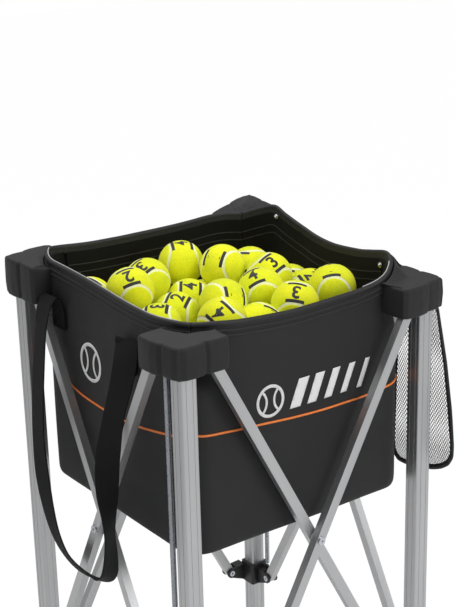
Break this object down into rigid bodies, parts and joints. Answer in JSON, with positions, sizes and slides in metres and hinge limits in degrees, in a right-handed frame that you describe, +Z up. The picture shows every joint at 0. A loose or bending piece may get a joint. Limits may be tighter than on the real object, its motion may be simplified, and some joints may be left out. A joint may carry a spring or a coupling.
{
  "type": "folding ball trolley",
  "caption": "Folding ball cart: four square aluminium legs with scissor bars on every side, castors below and a black fabric bag of tennis balls hung between them.",
  "frame": {"origin": "on the floor, under the middle of the open frame", "axes": "+Z up, -Y towards the front panel, -X towards the panel with the carry strap"},
  "size_m": [0.48, 0.4652, 0.9819],
  "materials": {
    "anodised_aluminium": "satin silver anodised, fine extrusion lines",
    "black_moulding": "matt black moulded nylon",
    "zinc_steel": "bright zinc plated",
    "spring_steel": "drawn spring wire",
    "bag_fabric": "near-black woven polyester with fine stitching",
    "webbing": "black ribbed nylon webbing",
    "piping": "orange cord piping",
    "net": "open knitted net with a black hem",
    "felt": "optic yellow felt over a hollow rubber core",
    "board": "stiff black sheet",
    "wheel": "dark grey tread on a moulded hub"
  },
  "bodies": {
    "stand": {"leg_front_left": "anodised_aluminium", "top_bracket_front_left": "black_moulding", "bracket_rivets_front_left": "zinc_steel", "leg_plug_front_left": "black_moulding", "corner_sleeve_front_left": "bag_fabric", "spring_front_left": "spring_steel", "bag_shell": "bag_fabric", "base_board": "board", "rim_binding": "bag_fabric", "orange_piping": "piping", "tennis_balls": "felt", "carry_strap": "webbing", "snap_studs": "zinc_steel"},
    "leg_front_right": {"leg_front_right": "anodised_aluminium", "top_bracket_front_right": "black_moulding", "bracket_rivets_front_right": "zinc_steel", "leg_plug_front_right": "black_moulding", "corner_sleeve_front_right": "bag_fabric", "mesh_pocket": "net"},
    "leg_rear_right": {"leg_rear_right": "anodised_aluminium", "top_bracket_rear_right": "black_moulding", "bracket_rivets_rear_right": "zinc_steel", "leg_plug_rear_right": "black_moulding", "corner_sleeve_rear_right": "bag_fabric", "spring_rear_right": "spring_steel"},
    "leg_rear_left": {"leg_rear_left": "anodised_aluminium", "top_bracket_rear_left": "black_moulding", "bracket_rivets_rear_left": "zinc_steel", "leg_plug_rear_left": "black_moulding", "corner_sleeve_rear_left": "bag_fabric"},
    "slider_front_left": {"slider_front_left": "black_moulding", "slider_rivets_front_left": "zinc_steel"},
    "slider_front_right": {"slider_front_right": "black_moulding", "slider_rivets_front_right": "zinc_steel"},
    "slider_rear_right": {"slider_rear_right": "black_moulding", "slider_rivets_rear_right": "zinc_steel"},
    "slider_rear_left": {"slider_rear_left": "black_moulding", "slider_rivets_rear_left": "zinc_steel"},
    "bar_front_inner": {"bar_front_inner": "anodised_aluminium"},
    "bar_front_outer": {"bar_front_outer": "anodised_aluminium", "pivot_bolt_front": "zinc_steel"},
    "bar_right_inner": {"bar_right_inner": "anodised_aluminium"},
    "bar_right_outer": {"bar_right_outer": "anodised_aluminium", "pivot_bolt_right": "zinc_steel"},
    "bar_rear_inner": {"bar_rear_inner": "anodised_aluminium"},
    "bar_rear_outer": {"bar_rear_outer": "anodised_aluminium", "pivot_bolt_rear": "zinc_steel"},
    "bar_left_inner": {"bar_left_inner": "anodised_aluminium"},
    "bar_left_outer": {"bar_left_outer": "anodised_aluminium", "pivot_bolt_left": "zinc_steel"},
    "castor_front_left": {"castor_fork_front_left": "black_moulding"},
    "wheel_front_left": {"castor_wheel_front_left": "wheel"},
    "castor_front_right": {"castor_fork_front_right": "black_moulding"},
    "wheel_front_right": {"castor_wheel_front_right": "wheel"},
    "castor_rear_right": {"castor_fork_rear_right": "black_moulding"},
    "wheel_rear_right": {"castor_wheel_rear_right": "wheel"},
    "castor_rear_left": {"castor_fork_rear_left": "black_moulding"},
    "wheel_rear_left": {"castor_wheel_rear_left": "wheel"},
    "brake_front_left": {"brake_lever_front_left": "black_moulding"},
    "brake_front_right": {"brake_lever_front_right": "black_moulding"}
  },
  "joints": [
    {"name": "fold", "type": "hinge", "parent": "stand", "child": "bar_front_inner", "pos_m": [-0.16, -0.201, 0.92], "axis": [0, 1, 0], "range_deg": [0, 25.12], "stiffness_Nm_per_rad": 14, "springref_deg": -51.57, "deforming": ["bag_shell", "base_board", "rim_binding", "orange_piping", "tennis_balls", "carry_strap", "snap_studs", "spring_front_left", "spring_rear_right"]},
    {"name": "front_cross", "type": "hinge", "parent": "bar_front_inner", "child": "bar_front_outer", "pos_m": [0, -0.201, 0.62113], "axis": [0, 1, 0], "range_deg": [-50.26, 0]},
    {"name": "front_right_top", "type": "hinge", "parent": "bar_front_outer", "child": "leg_front_right", "pos_m": [0.16, -0.201, 0.92], "axis": [0, 1, 0], "range_deg": [0, 25.13]},
    {"name": "front_left_slider", "type": "hinge", "parent": "bar_front_outer", "child": "slider_front_left", "pos_m": [-0.16, -0.201, 0.32227], "axis": [0, 1, 0], "range_deg": [0, 25.13]},
    {"name": "front_right_slider", "type": "hinge", "parent": "bar_front_inner", "child": "slider_front_right", "pos_m": [0.16, -0.201, 0.32227], "axis": [0, 1, 0], "range_deg": [-25.13, 0]},
    {"name": "left_fold", "type": "hinge", "parent": "stand", "child": "bar_left_outer", "pos_m": [-0.201, -0.16, 0.92], "axis": [-1, 0, 0], "range_deg": [0, 25.13]},
    {"name": "left_cross", "type": "hinge", "parent": "bar_left_outer", "child": "bar_left_inner", "pos_m": [-0.201, 0, 0.62113], "axis": [-1, 0, 0], "range_deg": [-50.26, 0]},
    {"name": "rear_left_top", "type": "hinge", "parent": "bar_left_inner", "child": "leg_rear_left", "pos_m": [-0.201, 0.16, 0.92], "axis": [-1, 0, 0], "range_deg": [0, 25.13]},
    {"name": "rear_left_slider", "type": "hinge", "parent": "bar_left_outer", "child": "slider_rear_left", "pos_m": [-0.201, 0.16, 0.32227], "axis": [-1, 0, 0], "range_deg": [-25.13, 0]},
    {"name": "right_fold", "type": "hinge", "parent": "leg_front_right", "child": "bar_right_inner", "pos_m": [0.201, -0.16, 0.92], "axis": [-1, 0, 0], "range_deg": [0, 25.13]},
    {"name": "right_cross", "type": "hinge", "parent": "bar_right_inner", "child": "bar_right_outer", "pos_m": [0.201, 0, 0.62113], "axis": [-1, 0, 0], "range_deg": [-50.26, 0]},
    {"name": "rear_right_top", "type": "hinge", "parent": "bar_right_outer", "child": "leg_rear_right", "pos_m": [0.201, 0.16, 0.92], "axis": [-1, 0, 0], "range_deg": [0, 25.13]},
    {"name": "rear_right_slider", "type": "hinge", "parent": "bar_right_inner", "child": "slider_rear_right", "pos_m": [0.201, 0.16, 0.32227], "axis": [-1, 0, 0], "range_deg": [-25.13, 0]},
    {"name": "rear_fold", "type": "hinge", "parent": "leg_rear_right", "child": "bar_rear_inner", "pos_m": [0.16, 0.201, 0.92], "axis": [0, -1, 0], "range_deg": [0, 25.13]},
    {"name": "rear_cross", "type": "hinge", "parent": "bar_rear_inner", "child": "bar_rear_outer", "pos_m": [0, 0.201, 0.62113], "axis": [0, -1, 0], "range_deg": [-50.26, 0]},
    {"name": "swivel_front_left", "type": "hinge", "parent": "stand", "child": "castor_front_left", "pos_m": [-0.201, -0.201, 0.07], "axis": [0, 0, 1], "continuous": true},
    {"name": "roll_front_left", "type": "hinge", "parent": "castor_front_left", "child": "wheel_front_left", "pos_m": [-0.181, -0.201, 0.03], "axis": [0, 1, 0], "continuous": true},
    {"name": "swivel_front_right", "type": "hinge", "parent": "leg_front_right", "child": "castor_front_right", "pos_m": [0.201, -0.201, 0.07], "axis": [0, 0, 1], "continuous": true},
    {"name": "roll_front_right", "type": "hinge", "parent": "castor_front_right", "child": "wheel_front_right", "pos_m": [0.201, -0.181, 0.03], "axis": [-1, 0, 0], "continuous": true},
    {"name": "swivel_rear_right", "type": "hinge", "parent": "leg_rear_right", "child": "castor_rear_right", "pos_m": [0.201, 0.201, 0.07], "axis": [0, 0, 1], "continuous": true},
    {"name": "roll_rear_right", "type": "hinge", "parent": "castor_rear_right", "child": "wheel_rear_right", "pos_m": [0.181, 0.201, 0.03], "axis": [0, -1, 0], "continuous": true},
    {"name": "swivel_rear_left", "type": "hinge", "parent": "leg_rear_left", "child": "castor_rear_left", "pos_m": [-0.201, 0.201, 0.07], "axis": [0, 0, 1], "continuous": true},
    {"name": "roll_rear_left", "type": "hinge", "parent": "castor_rear_left", "child": "wheel_rear_left", "pos_m": [-0.201, 0.181, 0.03], "axis": [1, 0, 0], "continuous": true},
    {"name": "brake_front_left", "type": "hinge", "parent": "castor_front_left", "child": "brake_front_left", "pos_m": [-0.161, -0.201, 0.057], "axis": [0, 1, 0], "range_deg": [0, 28]},
    {"name": "brake_front_right", "type": "hinge", "parent": "castor_front_right", "child": "brake_front_right", "pos_m": [0.201, -0.161, 0.057], "axis": [-1, 0, 0], "range_deg": [0, 28]}
  ],
  "couplings": [
    {"joint": "front_cross", "follows": "fold", "ratio": -2},
    {"joint": "front_right_top", "follows": "fold", "ratio": 1},
    {"joint": "front_left_slider", "follows": "fold", "ratio": 1},
    {"joint": "front_right_slider", "follows": "fold", "ratio": -1},
    {"joint": "left_fold", "follows": "fold", "ratio": 1},
    {"joint": "left_cross", "follows": "fold", "ratio": -2},
    {"joint": "rear_left_top", "follows": "fold", "ratio": 1},
    {"joint": "rear_left_slider", "follows": "fold", "ratio": -1},
    {"joint": "right_fold", "follows": "fold", "ratio": 1},
    {"joint": "right_cross", "follows": "fold", "ratio": -2},
    {"joint": "rear_right_top", "follows": "fold", "ratio": 1},
    {"joint": "rear_right_slider", "follows": "fold", "ratio": -1},
    {"joint": "rear_fold", "follows": "fold", "ratio": 1},
    {"joint": "rear_cross", "follows": "fold", "ratio": -2}
  ]
}
